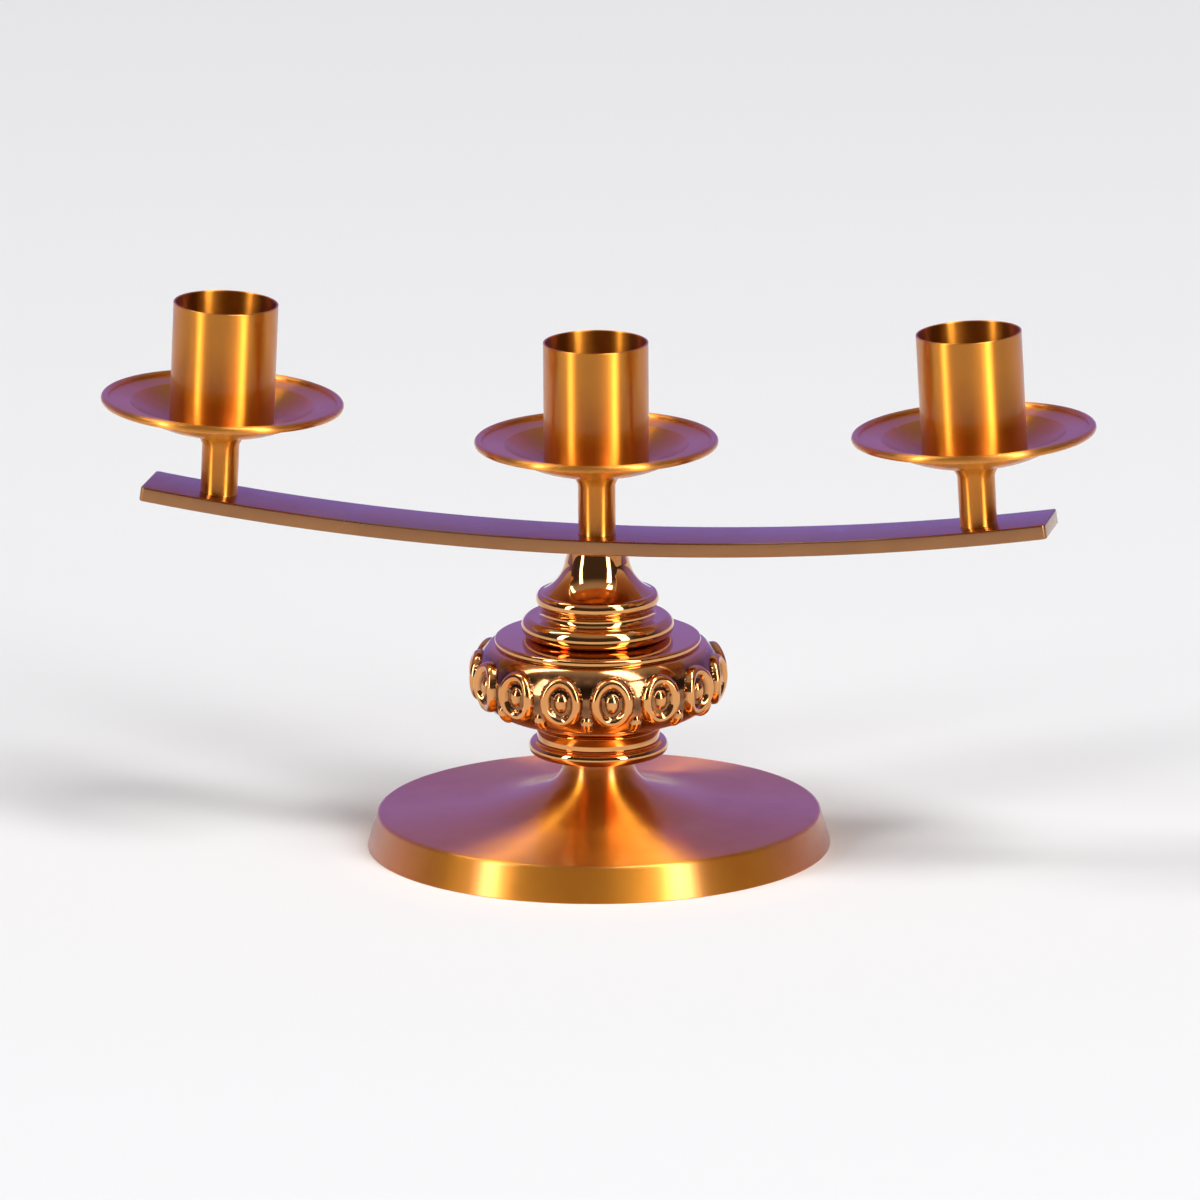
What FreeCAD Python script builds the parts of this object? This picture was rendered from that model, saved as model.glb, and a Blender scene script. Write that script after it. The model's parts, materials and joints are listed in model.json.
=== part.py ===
import FreeCAD, Part

import math
import os

# Three-light altar candelabra in brass. Millimetres, +Z up, arm along X.
# The origin is the middle of the foot's underside.
# Every screw thread is drawn plain, at its outside diameter.

# Foot: a spun shell with a rim, a sloping dish and a bell that rises to the neck
foot_radius = 89.0
foot_wall = 2.0
foot_lip = 5.0
rim_height = 13.6
rim_taper = 4.0
rim_round = 1.2
dish_slope = 4.0
bell_slope = 22.0
sweep_radius = 100.0
bell_radius = 12.0
neck_radius = 13.4
neck_plate = 3.0

# Tie rod that clamps the column, with its nut and washer under the foot
rod_radius = 4.0
rod_clearance = 0.3
rod_grip = 10.0
rod_tail = 2.0
rod_bevel = 0.8
nut_across_flats = 13.0
nut_height = 6.5
base_washer_radius = 9.5
base_washer_thickness = 2.0

# Neck ring: a short neck under a rounded ring
ring_neck = 2.4
ring_radius = 26.8
ring_height = 5.6
ring_bow = 2.4

# Knop seat: a hollow moulding that opens into a thin lip
cove_radius = 23.7
cove_height = 7.6
cove_bow = 1.3
lip_radius = 29.6
lip_height = 2.3
lip_round = 1.0

# Knop band: a round-sided bowl with a row of raised ovals and beads
band_radius = 47.4
band_side_radius = 15.4
band_foot_angle = 80.5
band_mouth_angle = 51.0
band_wall = 3.0
oval_count = 15
oval_width = 14.4
oval_height = 17.6
oval_strand = 3.0
oval_relief = 2.4
bead_radius = 2.1
bead_angle = 43.5

# Knop cap: a flat disc that closes the bowl, seated on the bowl's mouth
cap_inset = 2.1
cap_seat = 3.0
cap_edge = 3.0
cap_crown = 0.6
cap_round = 1.2

# Roll ring: a fat half-round moulding with a hollow above it
roll_radius = 29.3
roll_foot_radius = 26.6
roll_height = 7.8
roll_neck_radius = 22.6
roll_neck_height = 4.2
roll_neck_bow = 1.0

# Column bell: a beaded skirt that sweeps up to the neck under the arm
skirt_radius = 23.6
skirt_height = 5.2
skirt_bow = 1.2
flare_radius = 21.4
flare_height = 12.0
flare_bow = 2.8
throat_radius = 12.4
throat_height = 4.7

# Arm: a flat bar bent to a shallow upward arc
arm_arc_radius = 1127.0
arm_overhang = 27.8
arm_width = 27.2
arm_thickness = 5.6
arm_corner = 1.6
arm_edge = 0.5
swivel_washer_radius = 11.0
swivel_washer_thickness = 0.6
swivel_play = 0.06
swivel_clearance = 0.05

# Holders: a post with a flared head at each end of the arm and one in the middle
holder_reach = 148.2
holder_lean = 2.9
post_radius = 7.15
post_height = 26.0
hub_radius = 16.0
hub_height = 7.0
hub_bow = 1.7
seat_gap = 0.02

# Countersunk screws that hold the two outer posts from under the arm
screw_radius = 3.0
screw_head_radius = 6.0
screw_head_height = 3.0
screw_grip = 9.0
screw_runout = 1.0
screw_recess = 0.7
screw_clearance = 0.1
slot_width = 1.4
slot_depth = 1.3

# Drip pan: a flat floor around the cup, a shallow well, a sloping brim and a rolled edge
pan_radius = 46.7
pan_wall = 1.2
pan_floor_margin = 1.4
pan_well_radius = 35.4
pan_well_depth = 7.7
pan_well_bow = 0.8
pan_brim_rise = 0.9
pan_roll = 1.5

# Candle cup, sized for its candle, with a threaded stud brazed into its floor
candle_diameter = 38.1
candle_clearance = 0.3
cup_wall = 0.8
cup_floor = 2.4
cup_depth = 44.5
cup_edge = 0.6
cup_lip = 0.3
stud_radius = 3.0
stud_head_radius = 6.5
stud_head_height = 1.2
stud_slot_depth = 0.6
stud_bevel = 0.6
braze_gap = 0.05
thread_pitch = 1.0
thread_turns = 6
thread_clearance = 0.06
thread_runout = 2.0
stud_hole_clearance = 0.3
cup_washer_radius = 11.0
cup_washer_thickness = 0.8

# Share of a washer's thickness that rounds its outer edges, and lengths that count as equal
washer_edge_share = 0.25
same_length = 0.05

# Heights of the column, each piece standing on the one below
rod_hole = rod_radius + rod_clearance
rim_top_radius = foot_radius - rim_taper
dish_angle = math.radians(dish_slope)
bell_angle = math.radians(bell_slope)
bell_center_r = neck_radius + bell_radius
sweep_center_r = bell_center_r + (sweep_radius - bell_radius) * math.sin(bell_angle)
dish_r = sweep_center_r - sweep_radius * math.sin(dish_angle)
dish_z = rim_height + (rim_top_radius - dish_r) * math.tan(dish_angle)
sweep_center_z = dish_z + sweep_radius * math.cos(dish_angle)
bell_center_z = sweep_center_z - (sweep_radius - bell_radius) * math.cos(bell_angle)
foot_top = bell_center_z
ring_top = foot_top + ring_neck + ring_height
seat_top = ring_top + cove_height + lip_height
band_equator = seat_top + band_side_radius * math.sin(math.radians(band_foot_angle))
band_top = band_equator + band_side_radius * math.sin(math.radians(band_mouth_angle))
band_center_r = band_radius - band_side_radius
cap_radius = band_center_r + band_side_radius * math.cos(math.radians(band_mouth_angle)) - cap_inset
cap_top = band_top + cap_edge + cap_crown
roll_top = cap_top + roll_height + roll_neck_height
column_top = roll_top + skirt_height + flare_height + throat_height
washer_top = column_top + swivel_washer_thickness
arm_bottom = washer_top + swivel_play
arm_top = arm_bottom + arm_thickness
arc_center_z = arm_top + arm_arc_radius
rod_hole_bottom = foot_top - neck_plate
nut_bottom = rod_hole_bottom - base_washer_thickness - nut_height

# Heights inside a holder, measured along its post from the arm's upper face
pan_floor = post_height + pan_wall
washer_seat = pan_floor + seat_gap
cup_seat = washer_seat + cup_washer_thickness + seat_gap
cup_bore = candle_diameter / 2 + candle_clearance
cup_radius = cup_bore + cup_wall
stud_engagement = thread_pitch * thread_turns
center_post_foot = swivel_play

up = FreeCAD.Vector(0, 0, 1)
origin = FreeCAD.Vector(0, 0, 0)


def at(r, z, bow=0.0, soft=0.0):
    """One corner of a profile.

    bow bends the side that ends at this corner, to the left of its travel where positive;
    soft is the radius that rounds the corner between two straight sides.
    """
    return FreeCAD.Vector(r, 0, z), bow, soft


def side(start, end, bow):
    """A straight side, or an arc whose middle stands `bow` to the left of the chord."""
    if bow == 0:
        return Part.LineSegment(start, end).toShape()
    along = (end - start).normalize()
    left = FreeCAD.Vector(-along.z, 0, along.x)
    return Part.Arc(start, (start + end) / 2 + left * bow, end).toShape()


def rounded(before, corner, after, radius):
    """Entry, middle and exit of the arc that rounds a corner."""
    back = (before - corner).normalize()
    ahead = (after - corner).normalize()
    half = back.getAngle(ahead) / 2
    run = radius / math.tan(half)
    inward = (back + ahead).normalize()
    middle = corner + inward * (radius / math.sin(half) - radius)
    return corner + back * run, middle, corner + ahead * run


def turned(*corners):
    """Solid of revolution about Z of a closed profile in the XZ plane."""
    entries = []
    for i, (point, bow, soft) in enumerate(corners):
        if soft:
            before = corners[i - 1][0]
            after = corners[(i + 1) % len(corners)][0]
            entries.append(rounded(before, point, after, soft))
        else:
            entries.append((point, None, point))
    edges = []
    for i, (entry, middle, leave) in enumerate(entries):
        edges.append(side(entries[i - 1][2], entry, corners[i][1]))
        if middle:
            edges.append(Part.Arc(entry, middle, leave).toShape())
    return Part.Face(Part.Wire(edges)).revolve(origin, up, 360)


def cylinder(radius, bottom, top):
    """Upright cylinder on the Z axis."""
    return Part.makeCylinder(radius, top - bottom, FreeCAD.Vector(0, 0, bottom))


def washer(inner, outer, bottom, top):
    """Flat ring on the Z axis with its outer edges rounded."""
    soft = washer_edge_share * (top - bottom)
    return turned(
        at(inner, bottom), at(outer, bottom, soft=soft), at(outer, top, soft=soft), at(inner, top)
    )


def on_curve(center_r, center_z, radius, angle):
    """Point of a hollow curve where its face slopes down outwards by `angle`."""
    return center_r - radius * math.sin(angle), center_z - radius * math.cos(angle)


def curve_bow(radius, start_angle, end_angle):
    """Height of the arc over its chord between two slopes."""
    return radius * (1 - math.cos((end_angle - start_angle) / 2))


def foot_shell():
    """Spun foot: outer skin less its cavity, with a flat lip turned in underneath."""
    neck_angle = math.pi / 2
    sweep_end = on_curve(sweep_center_r, sweep_center_z, sweep_radius, bell_angle)
    outer = turned(
        at(0, 0),
        at(foot_radius, 0),
        at(rim_top_radius, rim_height, soft=rim_round),
        at(dish_r, dish_z),
        at(*sweep_end, bow=curve_bow(sweep_radius, dish_angle, bell_angle)),
        at(neck_radius, foot_top, bow=curve_bow(bell_radius, bell_angle, neck_angle)),
        at(0, foot_top),
    )
    inner_sweep = sweep_radius + foot_wall
    inner_bell = bell_radius + foot_wall
    plate_angle = math.acos(neck_plate / inner_bell)
    dish_inside = on_curve(sweep_center_r, sweep_center_z, inner_sweep, dish_angle)
    sweep_inside = on_curve(sweep_center_r, sweep_center_z, inner_sweep, bell_angle)
    plate_inside = on_curve(bell_center_r, bell_center_z, inner_bell, plate_angle)
    corner_r = rim_top_radius - foot_wall
    corner_z = dish_inside[1] - (corner_r - dish_inside[0]) * math.tan(dish_angle)
    lip_inside = foot_radius - foot_wall - rim_taper * foot_wall / rim_height
    cavity = turned(
        at(0, 0),
        at(foot_radius - foot_lip, 0),
        at(foot_radius - foot_lip, foot_wall),
        at(lip_inside, foot_wall),
        at(corner_r, corner_z),
        at(*dish_inside),
        at(*sweep_inside, bow=curve_bow(inner_sweep, dish_angle, bell_angle)),
        at(*plate_inside, bow=curve_bow(inner_bell, bell_angle, plate_angle)),
        at(0, rod_hole_bottom),
    )
    return outer.cut([cavity, cylinder(rod_hole, rod_hole_bottom, foot_top)])


def base_washer():
    """Flat washer under the neck plate."""
    bottom = rod_hole_bottom - base_washer_thickness
    return washer(rod_hole, base_washer_radius, bottom, rod_hole_bottom)


def base_nut():
    """Hexagon nut on the lower end of the tie rod, its corners turned off."""
    corner = nut_across_flats / 2 / math.cos(math.pi / 6)
    turns = [math.radians(60 * i) for i in range(7)]
    points = [FreeCAD.Vector(corner * math.cos(t), corner * math.sin(t), nut_bottom) for t in turns]
    prism = Part.Face(Part.makePolygon(points)).extrude(up * nut_height)
    bevel = corner - nut_across_flats / 2
    drum = turned(
        at(0, nut_bottom),
        at(nut_across_flats / 2, nut_bottom),
        at(corner, nut_bottom + bevel),
        at(corner, nut_bottom + nut_height),
        at(0, nut_bottom + nut_height),
    )
    bore = cylinder(rod_radius + thread_clearance, nut_bottom, nut_bottom + nut_height)
    return prism.common(drum).cut(bore)


def tie_rod():
    """Rod through the whole column, from below its nut into the middle post."""
    top = arm_top + center_post_foot + rod_grip
    bottom = nut_bottom - rod_tail
    return turned(
        at(0, bottom),
        at(rod_radius - rod_bevel, bottom),
        at(rod_radius, bottom + rod_bevel),
        at(rod_radius, top - rod_bevel),
        at(rod_radius - rod_bevel, top),
        at(0, top),
    )


def neck_ring():
    """Short neck that swells into the rounded ring."""
    shoulder = foot_top + ring_neck
    ring_side = ring_radius - ring_bow
    return turned(
        at(rod_hole, foot_top),
        at(neck_radius, foot_top),
        at(neck_radius, shoulder),
        at(ring_side, shoulder),
        at(ring_side, ring_top, bow=-ring_bow),
        at(rod_hole, ring_top),
    )


def knop_seat():
    """Hollow moulding that carries the bowl on its lip."""
    lip_bottom = ring_top + cove_height
    return turned(
        at(rod_hole, ring_top),
        at(cove_radius, ring_top),
        at(lip_radius - lip_height, lip_bottom, bow=cove_bow),
        at(lip_radius, lip_bottom, soft=lip_round),
        at(lip_radius, seat_top, soft=lip_round),
        at(rod_hole, seat_top),
    )


def on_bowl(depth, angle):
    """Point of the bowl's round side, `depth` inside it, at an angle above its equator."""
    radius = band_side_radius - depth
    turn = math.radians(angle)
    return band_center_r + radius * math.cos(turn), band_equator + radius * math.sin(turn)


def bowl_solid(depth):
    """Round-sided body of the knop, its side moved inwards by `depth`."""
    half_turn = math.radians(band_foot_angle + band_mouth_angle) / 2
    bow = (band_side_radius - depth) * (1 - math.cos(half_turn))
    foot_r, foot_z = on_bowl(depth, -band_foot_angle)
    mouth_r, mouth_z = on_bowl(depth, band_mouth_angle)
    return turned(at(0, foot_z), at(foot_r, foot_z), at(mouth_r, mouth_z, bow=-bow), at(0, mouth_z))


def knop_band():
    """Cast bowl, open at the top, with its row of raised ovals and a bead low in each gap."""
    tools = []
    oval = raised_oval()
    bead_r, bead_z = on_bowl(0, -bead_angle)
    bead = Part.makeSphere(bead_radius, FreeCAD.Vector(bead_r, 0, bead_z))
    step = 360 / oval_count
    bead.rotate(origin, up, step / 2)
    for i in range(oval_count):
        for tool in (oval, bead):
            copy = tool.copy()
            copy.rotate(origin, up, step * i)
            tools.append(copy)
    mouth_z = on_bowl(band_wall, band_mouth_angle)[1]
    mouth = cylinder(cap_radius - cap_seat, mouth_z, band_top)
    rod_way = cylinder(rod_hole, seat_top, band_equator)
    return bowl_solid(0).fuse(tools).cut([bowl_solid(band_wall), mouth, rod_way])


def raised_oval():
    """Oval strand that stands out from the bowl's side, rooted half-way into its wall."""
    strand = oval_face(oval_width, oval_height).cut(
        oval_face(oval_width - 2 * oval_strand, oval_height - 2 * oval_strand)
    )
    edge_r = band_center_r + math.sqrt(band_side_radius**2 - oval_height**2 / 4)
    root = math.sqrt(edge_r**2 - oval_width**2 / 4) - band_wall / 2
    strand.translate(FreeCAD.Vector(root, 0, 0))
    return strand.extrude(FreeCAD.Vector(band_radius, 0, 0)).common(bowl_solid(-oval_relief))


def oval_face(width, height):
    """Upright oval on the knop's equator, facing +X."""
    middle = FreeCAD.Vector(0, 0, band_equator)
    across = FreeCAD.Vector(0, width / 2, 0)
    tall = FreeCAD.Vector(0, 0, height / 2)
    major, minor = (tall, across) if height >= width else (across, tall)
    return Part.Face(Part.Wire(Part.Ellipse(middle + major, middle + minor, middle).toShape()))


def knop_cap():
    """Disc over the bowl, with a low cone on its upper face."""
    edge_top = band_top + cap_edge
    return turned(
        at(rod_hole, band_top),
        at(cap_radius, band_top, soft=cap_round),
        at(cap_radius, edge_top, soft=cap_round),
        at(roll_foot_radius, cap_top),
        at(rod_hole, cap_top),
    )


def roll_ring():
    """Half-round roll with a hollow neck on top."""
    roll_edge = cap_top + roll_height
    roll_bow = roll_radius - roll_foot_radius
    return turned(
        at(rod_hole, cap_top),
        at(roll_foot_radius, cap_top),
        at(roll_foot_radius, roll_edge, bow=-roll_bow),
        at(roll_neck_radius, roll_edge),
        at(roll_neck_radius, roll_top, bow=roll_neck_bow),
        at(rod_hole, roll_top),
    )


def column_bell():
    """Beaded skirt and the sweep up to the throat under the arm."""
    skirt_side = skirt_radius - skirt_bow
    skirt_top = roll_top + skirt_height
    flare_top = skirt_top + flare_height
    return turned(
        at(rod_hole, roll_top),
        at(skirt_side, roll_top),
        at(skirt_side, skirt_top, bow=-skirt_bow),
        at(flare_radius, skirt_top),
        at(throat_radius, flare_top, bow=flare_bow),
        at(throat_radius, column_top),
        at(rod_hole, column_top),
    )


def swivel_washer():
    """Thin washer that the arm turns on."""
    return washer(rod_hole, swivel_washer_radius, column_top, washer_top)


def arc_point(radius, angle):
    """Point of the arm's arc at an angle from its lowest place."""
    return FreeCAD.Vector(radius * math.sin(angle), 0, arc_center_z - radius * math.cos(angle))


def arm_blank():
    """Bent bar with rounded corners and eased edges, before drilling."""
    half = math.asin((holder_reach + arm_overhang) / arm_arc_radius)
    top = [arc_point(arm_arc_radius, angle) for angle in (-half, 0, half)]
    low = [arc_point(arm_arc_radius + arm_thickness, angle) for angle in (half, 0, -half)]
    right_end = Part.LineSegment(top[-1], low[0])
    left_end = Part.LineSegment(low[-1], top[0])
    sides = (Part.Arc(*top), right_end, Part.Arc(*low), left_end)
    outline = Part.Wire([edge.toShape() for edge in sides])
    outline.translate(FreeCAD.Vector(0, -arm_width / 2, 0))
    bar = Part.Face(outline).extrude(FreeCAD.Vector(0, arm_width, 0))
    bar = bar.makeFillet(arm_corner, [edge for edge in bar.Edges if is_corner(edge)])
    return bar.makeFillet(arm_edge, [edge for edge in bar.Edges if not is_corner(edge)])


def is_corner(edge):
    """Whether an edge of the bar stands across its thickness."""
    return abs(edge.Length - arm_thickness) < same_length


def holder_place(way):
    """Placement of a holder: -1 left, 0 middle, 1 right; local Z runs up its post."""
    angle = math.asin(way * holder_reach / arm_arc_radius)
    lean = FreeCAD.Rotation(FreeCAD.Vector(0, 1, 0), -way * holder_lean)
    return FreeCAD.Placement(arc_point(arm_arc_radius, angle), lean)


def placed(shape, way):
    """A shape drawn along the holder's own axis, moved to its holder."""
    copy = shape.copy()
    copy.Placement = holder_place(way)
    return copy


def screw_seat():
    """Height of a post screw's head face, along the post, inside the arm's underside."""
    tilt = math.asin(holder_reach / arm_arc_radius) - math.radians(holder_lean)
    return screw_recess - arm_thickness / math.cos(tilt)


def screw_solid(play):
    """Countersunk screw from its head face up, every radius larger by `play`."""
    seat = screw_seat()
    return turned(
        at(0, seat),
        at(screw_head_radius + play, seat),
        at(screw_radius + play, seat + screw_head_height),
        at(screw_radius + play, screw_grip),
        at(0, screw_grip),
    )


def post_screw():
    """Countersunk slotted screw for an outer post."""
    slot = Part.makeBox(2 * screw_head_radius, slot_width, slot_depth)
    slot.translate(FreeCAD.Vector(-screw_head_radius, -slot_width / 2, screw_seat()))
    return screw_solid(0).cut(slot)


def arm_bar():
    """Bar with the swivel hole in its middle and a countersunk hole under each outer post."""
    cuts = [cylinder(rod_radius + swivel_clearance, arm_bottom - arm_thickness, arm_top + arm_thickness)]
    mouth = cylinder(screw_head_radius + screw_clearance, screw_seat() - arm_thickness, screw_seat())
    for way in (-1, 1):
        cuts.append(placed(screw_solid(screw_clearance), way))
        cuts.append(placed(mouth, way))
    return arm_blank().cut(cuts)


def post_blank(foot, hole_radius, hole_top):
    """Post along its own axis, with a hole up from its foot and the stud's hole in its head."""
    post = turned(
        at(0, foot),
        at(post_radius, foot),
        at(post_radius, post_height - hub_height),
        at(hub_radius, post_height, bow=hub_bow),
        at(0, post_height),
    )
    stud_hole = cylinder(stud_radius + thread_clearance, stud_bottom() - thread_runout, post_height)
    return post.cut([stud_hole, cylinder(hole_radius, foot, hole_top)])


def stud_bottom():
    """Height of the cup stud's lower end."""
    return post_height - stud_engagement


def outer_post(way):
    """Leaning post whose foot follows the arm's upper face."""
    blank = post_blank(-arm_thickness, screw_radius + thread_clearance, screw_grip + screw_runout)
    inside = Part.makeCylinder(
        arm_arc_radius - seat_gap,
        2 * hub_radius,
        FreeCAD.Vector(0, -hub_radius, arc_center_z),
        FreeCAD.Vector(0, 1, 0),
    )
    return placed(blank, way).common(inside)


def center_post():
    """Upright post that holds the arm down on the column."""
    top = center_post_foot + rod_grip
    return placed(post_blank(center_post_foot, rod_radius + thread_clearance, top), 0)


def drip_pan():
    """Pan along the holder's axis: floor, bowed well, brim and rolled edge."""
    well_top = post_height + pan_well_depth + pan_wall
    edge_r = pan_radius - pan_roll
    edge_z = well_top + pan_brim_rise
    floor_r = cup_radius + pan_floor_margin
    return turned(
        at(stud_radius + stud_hole_clearance, post_height),
        at(floor_r, post_height),
        at(pan_well_radius + pan_wall, well_top - pan_wall, bow=-pan_well_bow),
        at(edge_r, edge_z - pan_roll),
        at(edge_r, edge_z + pan_roll, bow=-pan_roll),
        at(edge_r - pan_roll, edge_z, bow=-curve_bow(pan_roll, 0, math.pi / 2)),
        at(pan_well_radius, well_top),
        at(floor_r - pan_wall / 2, pan_floor, bow=pan_well_bow),
        at(stud_radius + stud_hole_clearance, pan_floor),
    )


def candle_cup():
    """Straight thin-walled cup, its floor drilled and recessed for the stud's head."""
    floor = cup_seat + cup_floor
    recess = floor - stud_head_height - braze_gap
    top = floor + cup_depth
    return turned(
        at(stud_radius + braze_gap, cup_seat),
        at(cup_radius, cup_seat, soft=cup_edge),
        at(cup_radius, top, soft=cup_lip),
        at(cup_bore, top, soft=cup_lip),
        at(cup_bore, floor),
        at(stud_head_radius + braze_gap, floor),
        at(stud_head_radius + braze_gap, recess),
        at(stud_radius + braze_gap, recess),
    )


def cup_stud():
    """Stud with a slotted head level with the cup's floor, down through the pan into the post."""
    head_top = cup_seat + cup_floor
    head_bottom = head_top - stud_head_height
    stud = turned(
        at(0, stud_bottom()),
        at(stud_radius - stud_bevel, stud_bottom()),
        at(stud_radius, stud_bottom() + stud_bevel),
        at(stud_radius, head_bottom),
        at(stud_head_radius, head_bottom),
        at(stud_head_radius, head_top),
        at(0, head_top),
    )
    slot = Part.makeBox(2 * stud_head_radius, slot_width, stud_slot_depth)
    slot.translate(FreeCAD.Vector(-stud_head_radius, -slot_width / 2, head_top - stud_slot_depth))
    return stud.cut(slot)


def cup_washer():
    """Thin washer between the cup and its pan."""
    inner = stud_radius + stud_hole_clearance
    return washer(inner, cup_washer_radius, washer_seat, washer_seat + cup_washer_thickness)


def pieces():
    """Every piece of the candelabra by its name."""
    found = {
        "base_shell": foot_shell(),
        "base_washer": base_washer(),
        "base_nut": base_nut(),
        "tie_rod": tie_rod(),
        "neck_ring": neck_ring(),
        "knop_seat": knop_seat(),
        "knop_band": knop_band(),
        "knop_cap": knop_cap(),
        "roll_ring": roll_ring(),
        "column_bell": column_bell(),
        "swivel_washer": swivel_washer(),
        "arm_bar": arm_bar(),
        "post_screws": Part.makeCompound([placed(post_screw(), way) for way in (-1, 1)]),
        "left_post": outer_post(-1),
        "center_post": center_post(),
        "right_post": outer_post(1),
    }
    for name, way in (("left", -1), ("center", 0), ("right", 1)):
        found[name + "_drip_pan"] = placed(drip_pan(), way)
        found[name + "_candle_cup"] = placed(candle_cup(), way)
        found[name + "_cup_stud"] = placed(cup_stud(), way)
        found[name + "_cup_washer"] = placed(cup_washer(), way)
    return found


os.makedirs("parts", exist_ok=True)
for name, shape in pieces().items():
    shape.exportStep(f"parts/{name}.step")
    box = shape.BoundBox
    print(f"{name}: {len(shape.Solids)} solid, valid {shape.isValid()}, {shape.Volume:.1f} mm3,",
          f"z {box.ZMin:.2f} to {box.ZMax:.2f}")
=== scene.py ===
"""Looks of an altar candelabra in brass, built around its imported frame."""
import json
import logging
import math
from collections.abc import Callable, Sequence
from dataclasses import dataclass, field, replace
from enum import Enum
from itertools import product

import bpy
from bpy.types import Material, Mesh, Node, NodeOutputs, NodeSocket, NodeTree, Object
from mathutils import Matrix, Quaternion, Vector


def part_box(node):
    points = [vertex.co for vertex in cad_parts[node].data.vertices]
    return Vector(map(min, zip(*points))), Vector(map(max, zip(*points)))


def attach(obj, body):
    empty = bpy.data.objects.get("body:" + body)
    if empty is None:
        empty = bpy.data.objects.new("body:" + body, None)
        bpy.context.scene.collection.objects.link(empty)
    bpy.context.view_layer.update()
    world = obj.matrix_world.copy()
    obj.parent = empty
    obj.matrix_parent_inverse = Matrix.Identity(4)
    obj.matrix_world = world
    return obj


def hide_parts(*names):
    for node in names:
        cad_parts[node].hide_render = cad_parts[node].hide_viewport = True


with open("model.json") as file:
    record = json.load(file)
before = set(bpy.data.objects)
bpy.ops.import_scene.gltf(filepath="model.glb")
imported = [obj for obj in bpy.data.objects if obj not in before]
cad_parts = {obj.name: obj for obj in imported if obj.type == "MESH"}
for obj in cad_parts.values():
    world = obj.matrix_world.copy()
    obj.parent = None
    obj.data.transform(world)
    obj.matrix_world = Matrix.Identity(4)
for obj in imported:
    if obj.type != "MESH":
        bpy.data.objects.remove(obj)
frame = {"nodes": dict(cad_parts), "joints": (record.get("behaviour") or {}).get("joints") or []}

LOG = logging.getLogger("candelabra")
MM = 0.001
SHARP_ANGLE = math.radians(40)
CUTTER_STEPS = 96

Color = tuple[float, float, float]
Source = NodeSocket | float | Color
Sockets = tuple[NodeSocket, ...]
Pair = tuple[float, float]
Faces = list[tuple[int, ...]]


class Layer(Enum):
    """Numbers that a mesh keeps for each of its points, for its finish to read."""

    # Each point's share of darkening in a hollow, which the finish paints as shade and oxide.
    RECESS = ("FLOAT", "value")
    TURNING = ("FLOAT_VECTOR", "vector")

    @property
    def label(self) -> str:
        """The layer's name in the mesh."""
        return self.name.lower()

    def keep(self, piece: Object, numbers: Sequence[float]) -> None:
        """Stores the numbers in a piece's mesh, point after point."""
        kind, key = self.value
        piece.data.attributes.new(self.label, kind, "POINT").data.foreach_set(key, numbers)


class Graph:
    """Places and links the nodes of one shader tree."""

    mix_colors = (6, 7)
    mix_result = 2

    def __init__(self, tree: NodeTree) -> None:
        """Takes over a tree and empties it."""
        self.tree = tree
        tree.nodes.clear()

    def add(
        self, kind: str, sources: dict[str | int, Source] | None = None, **settings: object
    ) -> Node:
        """Adds a node.

        Args:
            kind: Blender's name of the node's type.
            sources: Output socket, number or colour for its inputs, by name or number.
            settings: Properties to set on it.

        Returns:
            The new node.
        """
        node = self.tree.nodes.new(kind)
        for name, value in settings.items():
            setattr(node, name, value)
        for key, source in (sources or {}).items():
            if isinstance(source, NodeSocket):
                self.tree.links.new(source, node.inputs[key])
            elif isinstance(source, tuple):
                node.inputs[key].default_value = (*source, 1.0)
            else:
                node.inputs[key].default_value = source
        return node

    def math(self, operation: str, first: Source, second: Source) -> NodeSocket:
        """Adds one step of arithmetic and gives its result."""
        return self.add("ShaderNodeMath", {0: first, 1: second}, operation=operation).outputs[0]

    def step(self, value: Source, low: Source, high: Source) -> NodeSocket:
        """Adds a smooth step from 0 at `low` to 1 at `high`."""
        sources = {"Value": value, "From Min": low, "From Max": high}
        return self.add("ShaderNodeMapRange", sources, interpolation_type="SMOOTHSTEP").outputs[0]

    def mix(self, share: Source, first: Source, second: Source) -> NodeSocket:
        """Mixes two colours by the share of the second."""
        sources = {"Factor": share, **dict(zip(self.mix_colors, (first, second)))}
        return self.add("ShaderNodeMix", sources, data_type="RGBA").outputs[self.mix_result]

    def noise(self, vector: NodeSocket, scale: Source, detail: float) -> NodeSocket:
        """Adds noise with `scale` cells per unit and `detail` octaves."""
        sources = {"Vector": vector, "Scale": scale, "Detail": detail}
        return self.add("ShaderNodeTexNoise", sources).outputs["Fac"]

    def vector(self, *numbers: Source) -> NodeSocket:
        """Joins three numbers into a vector."""
        return self.add("ShaderNodeCombineXYZ", dict(enumerate(numbers))).outputs[0]

    def split(self, vector: NodeSocket) -> NodeOutputs:
        """Gives the three numbers of a vector."""
        return self.add("ShaderNodeSeparateXYZ", {0: vector}).outputs

    def coordinates(self, kind: str = "Object") -> NodeSocket:
        """Gives coordinates, the piece's own if no other kind is named."""
        return self.add("ShaderNodeTexCoord").outputs[kind]

    def effect(self, effect: "Effect", **values: float) -> NodeOutputs:
        """Places a shared effect with its inputs and gives its outputs."""
        return self.add("ShaderNodeGroup", values, node_tree=effect.group()).outputs


class Effect(Enum):
    """Surface effects that the finishes share."""

    TURNED = "turned_lines"
    DRAWN = "drawn_lines"
    HAZE = "handling_haze"
    EDGE = "edge_polish"
    PATINA = "recess_patina"

    def group(self) -> NodeTree:
        """Returns the effect's node group, built once."""
        return bpy.data.node_groups.get(self.value) or EffectGraph(self).tree


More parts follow.
